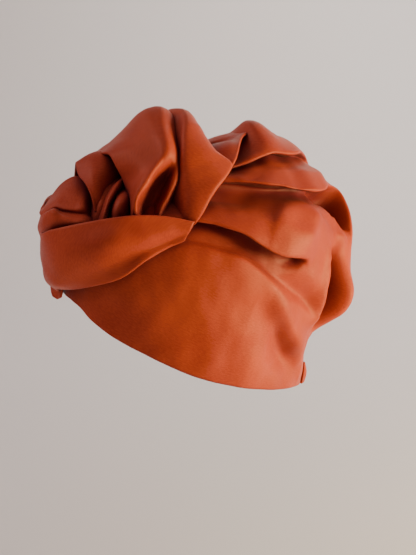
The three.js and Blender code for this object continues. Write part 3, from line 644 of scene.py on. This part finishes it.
def satin_colour(tree, slubs):
    """The cloth's colour: uneven by patches and threads, with painted shade that darkens it down in the folds.
    """
    place = add_node(tree, "ShaderNodeTexCoord")
    patches = add_node(tree, "ShaderNodeTexNoise", inputs=PATCH_NOISE)
    tree.links.new(place.outputs["Object"], patches.inputs["Vector"])
    grain = add_node(tree, "ShaderNodeMapRange", inputs={"To Min": -GRAIN, "To Max": GRAIN})
    tree.links.new(slubs, grain.inputs["Value"])
    shade = add_node(tree, "ShaderNodeMath")
    tree.links.new(patches.outputs["Fac"], shade.inputs[0])
    tree.links.new(grain.outputs["Result"], shade.inputs[1])
    tone = add_node(tree, "ShaderNodeValToRGB")
    for stop, (position, colour) in zip(tone.color_ramp.elements, TONES):
        stop.position = position
        stop.color = colour
    tree.links.new(shade.outputs["Value"], tone.inputs["Fac"])
    # Painted shade: ambient occlusion mixes the base colour towards a dark tone in the folds and sunk places
    folds = add_node(tree, "ShaderNodeAmbientOcclusion", {"samples": PAINTED_SHADE_SAMPLES},
                     {"Distance": PAINTED_SHADE_REACH * MM})
    painted_shade_share = add_node(tree, "ShaderNodeMapRange", inputs=PAINTED_SHADE_RANGE)
    tree.links.new(folds.outputs["AO"], painted_shade_share.inputs["Value"])
    painted_shade_colour = add_node(tree, "ShaderNodeMix", {"data_type": "RGBA"}, {MIX_FIRST: PAINTED_SHADE_TONE})
    tree.links.new(painted_shade_share.outputs["Result"], painted_shade_colour.inputs[MIX_SHARE])
    tree.links.new(tone.outputs["Color"], painted_shade_colour.inputs[MIX_SECOND])
    return painted_shade_colour.outputs[MIX_RESULT]


def satin_relief(tree, slubs, weave):
    """The fine relief of the threads."""
    height = add_node(tree, "ShaderNodeMath", {"operation": "MULTIPLY_ADD"}, {1: SLUB_HEIGHT})
    tree.links.new(slubs, height.inputs[0])
    tree.links.new(weave, height.inputs[2])
    bump = add_node(tree, "ShaderNodeBump", inputs={"Strength": THREAD_BUMP, "Distance": THREAD_HEIGHT * MM})
    tree.links.new(height.outputs["Value"], bump.inputs["Height"])
    return bump.outputs["Normal"]


def satin_material():
    """Burnt orange satin with a soft sheen."""
    material = bpy.data.materials.new("burnt_orange_satin")
    material.use_nodes = True
    tree = material.node_tree
    shader = tree.nodes["Principled BSDF"]
    for socket, value in SATIN_GLOSS.items():
        shader.inputs[socket].default_value = value
    slubs, weave = satin_threads(tree)
    tree.links.new(satin_colour(tree, slubs), shader.inputs["Base Color"])
    tree.links.new(satin_relief(tree, slubs, weave), shader.inputs["Normal"])
    return material


satin = satin_material()


def dress(piece, node):
    """The satin on a piece, and what the frame has to know of it."""
    piece.data.materials.append(satin)
    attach(piece, "root")
    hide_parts(node)


# Each piece has its own seed for the unevenness of its cloth
CROWN_SEED = 3

grid, normals = crown_grid()
grid = soft_wrinkles(grid, normals, WRINKLE_RISE, CROWN_SEED)
crown = thick_sheet("crown_cloth", grid, normals, CROWN_WALL, outer_at=0)
dress(crown, "crown_wrap")

for seed, (node, strip) in enumerate(STRIPS.items(), start=CROWN_SEED + 1):
    grid = strip_grid(strip)
    normals = grid_normals(grid, np.zeros(3))
    grid = soft_wrinkles(grid, normals, WRINKLE_RISE, seed)
    piece = thick_sheet(node + "_cloth", grid, normals, strip["wall"])
    dress(piece, node)

# The ruched casing along the nape's hem
NAPE_HALF_SPREAD = 37.0
NAPE_RISE = 9.0
NAPE_RUFFLES = 7
NAPE_RUFFLE_DEPTH = 1.2
NAPE_RUFFLE_DRIFT = 0.7
NAPE_DRIFT_RATE = 9
NAPE_CLEARANCE = 0.3
NAPE_END_SHARE = 0.12
NAPE_END_REST = 0.4
NAPE_COLUMNS = 168
NAPE_ROWS = 16


def nape_grid():
    """The casing's middle surface, from the left end round to the right one."""
    share = np.linspace(-1, 1, NAPE_COLUMNS + 1)[:, None]
    up = np.linspace(0, 1, NAPE_ROWS + 1)[None]
    along = table_curve(ARCHES["turn"], ARCHES["along"], 180 - NAPE_HALF_SPREAD * np.abs(share))
    angle = np.where(share < 0, NAPE_RISE * up, 180 - NAPE_RISE * up)
    points = crown_point(along + 0 * up, angle)
    points[NAPE_COLUMNS // 2, :, 0] = 0
    outward = points * (1 / HEAD_HALF_WIDTH ** 2, 1 / HEAD_HALF_LENGTH ** 2, 0)
    outward /= np.linalg.norm(outward, axis=-1, keepdims=True)
    drift = NAPE_RUFFLE_DRIFT * np.sin(NAPE_DRIFT_RATE * share)
    wave = np.sin(NAPE_RUFFLES * np.pi * (share + 1) + drift) * np.sin(np.pi * up)
    rest = NAPE_CLEARANCE + CORE_WALL / 2 + NAPE_RUFFLE_DEPTH
    ends = smoothstep((1 - np.abs(share)) / NAPE_END_SHARE)
    lift = swell_lift(along, angle) + rest * (NAPE_END_REST + (1 - NAPE_END_REST) * ends)
    return points + outward * (lift + NAPE_RUFFLE_DEPTH * wave * ends)[..., None]


grid = nape_grid()
nape = thick_sheet("nape_gather_cloth", grid, grid_normals(grid, NAPE_INSIDE), CORE_WALL)
dress(nape, "nape_gather")

# The photograph's view: from the front left, a little above
VIEW_AZIMUTH = 57.0
VIEW_HEIGHT = 15.0
VIEW_DISTANCE = 1000.0
MM_PER_PIXEL = 0.77
HAT_LINE_PIXEL = (185.0, 300.0)
IMAGE = (416, 555)
SENSOR = 36.0
NEAREST_SEEN = 0.01


# The stage, in metres: a floor that bends up into a wall
FLOOR_Z = -0.30
FLOOR_FRONT = -2.5
WALL_DISTANCE = 1.8
WALL_TOP = 3.5
HALF_WIDTH = 4.5
BEND = 0.8
BEND_STEPS = 12
FLOOR_COLOUR = (0.78, 0.72, 0.68, 1)
FLOOR_ROUGHNESS = 0.9

# The studio's lights: place and size in metres, and power in watts
MIDDLE = (0, 0, 0.03)
LIGHTS = [
    dict(name="window", place=(0.62, 0.65, 0.05), size=0.36, power=13.5, colour=(1.0, 0.85, 0.50), aim=MIDDLE),
    dict(name="ceiling", place=(0.3, 0.7, 1.4), size=0.9, power=1.8, colour=(0.97, 0.92, 1.0), aim=MIDDLE),
    dict(name="room", place=(-0.55, -1.05, 1.2), size=1.2, power=11, colour=(0.98, 0.88, 1.0), aim=MIDDLE),
    dict(name="bounce", place=(0.40, -0.55, -0.24), size=0.4, power=0.3, colour=(1.0, 0.86, 0.92), aim=MIDDLE),
    dict(name="backdrop", place=(-0.31, 0.80, 1.1), size=0.6, power=22, colour=(1.0, 0.97, 0.95),
         aim=(-1.02, 1.74, 0.2)),
]
ROOM_COLOUR = (0.94, 0.87, 1.0, 1)
ROOM_STRENGTH = 0.17


def add_camera():
    """The camera at the photograph's angle, with the hat line's middle at its place in the picture."""
    turn, rise = math.radians(VIEW_AZIMUTH), math.radians(VIEW_HEIGHT)
    back = Vector((math.sin(turn) * math.cos(rise), -math.cos(turn) * math.cos(rise), math.sin(rise)))
    right = Vector((math.cos(turn), math.sin(turn), 0))
    up = back.cross(right)
    across = (HAT_LINE_PIXEL[0] - IMAGE[0] / 2) * MM_PER_PIXEL
    down = (HAT_LINE_PIXEL[1] - IMAGE[1] / 2) * MM_PER_PIXEL
    place = (back * VIEW_DISTANCE - right * across + up * down) * MM
    data = bpy.data.cameras.new("camera")
    data.sensor_width = SENSOR
    data.lens = VIEW_DISTANCE / MM_PER_PIXEL * SENSOR / IMAGE[1]
    data.clip_start = NEAREST_SEEN
    camera = bpy.data.objects.new("camera", data)
    camera.matrix_world = Matrix.Translation(place) @ Matrix((right, up, back)).transposed().to_4x4()
    bpy.context.scene.collection.objects.link(camera)
    bpy.context.scene.camera = camera


def add_light(name, place, size, power, colour, aim):
    """A round soft light that shines at a point."""
    data = bpy.data.lights.new(name, "AREA")
    data.shape = "DISK"
    data.size = size
    data.energy = power
    data.color = colour
    light = bpy.data.objects.new(name, data)
    light.location = place
    light.rotation_mode = "QUATERNION"
    light.rotation_quaternion = (Vector(aim) - Vector(place)).to_track_quat("-Z", "Y")
    bpy.context.scene.collection.objects.link(light)


def add_stage():
    """A pale floor that curves up into a wall behind the object, seen from the camera."""
    turn = math.radians(VIEW_AZIMUTH)
    away = Vector((-math.sin(turn), math.cos(turn), 0))
    right = Vector((math.cos(turn), math.sin(turn), 0))
    bend_start = WALL_DISTANCE - BEND
    profile = [(FLOOR_FRONT, FLOOR_Z), (bend_start, FLOOR_Z)]
    for step in range(1, BEND_STEPS + 1):
        angle = math.radians(90 * step / BEND_STEPS)
        profile.append((bend_start + BEND * math.sin(angle), FLOOR_Z + BEND - BEND * math.cos(angle)))
    profile.append((WALL_DISTANCE, WALL_TOP))
    points = []
    for reach, height in profile:
        for side in (-HALF_WIDTH, HALF_WIDTH):
            points.append(tuple(away * reach + right * side + Vector((0, 0, height))))
    faces = [(2 * i, 2 * i + 1, 2 * i + 3, 2 * i + 2) for i in range(len(profile) - 1)]
    mesh = bpy.data.meshes.new("floor")
    mesh.from_pydata(points, [], faces)
    mesh.shade_smooth()
    floor = bpy.data.objects.new("floor", mesh)
    bpy.context.scene.collection.objects.link(floor)
    material = bpy.data.materials.new("pale_floor")
    material.use_nodes = True
    shader = material.node_tree.nodes["Principled BSDF"]
    shader.inputs["Base Color"].default_value = FLOOR_COLOUR
    shader.inputs["Roughness"].default_value = FLOOR_ROUGHNESS
    mesh.materials.append(material)


def add_room():
    """The even light of the room round the object."""
    world = bpy.data.worlds.new("world")
    world.use_nodes = True
    background = world.node_tree.nodes["Background"]
    background.inputs["Color"].default_value = ROOM_COLOUR
    background.inputs["Strength"].default_value = ROOM_STRENGTH
    bpy.context.scene.world = world


add_camera()
add_stage()
for light in LIGHTS:
    add_light(**light)
add_room()
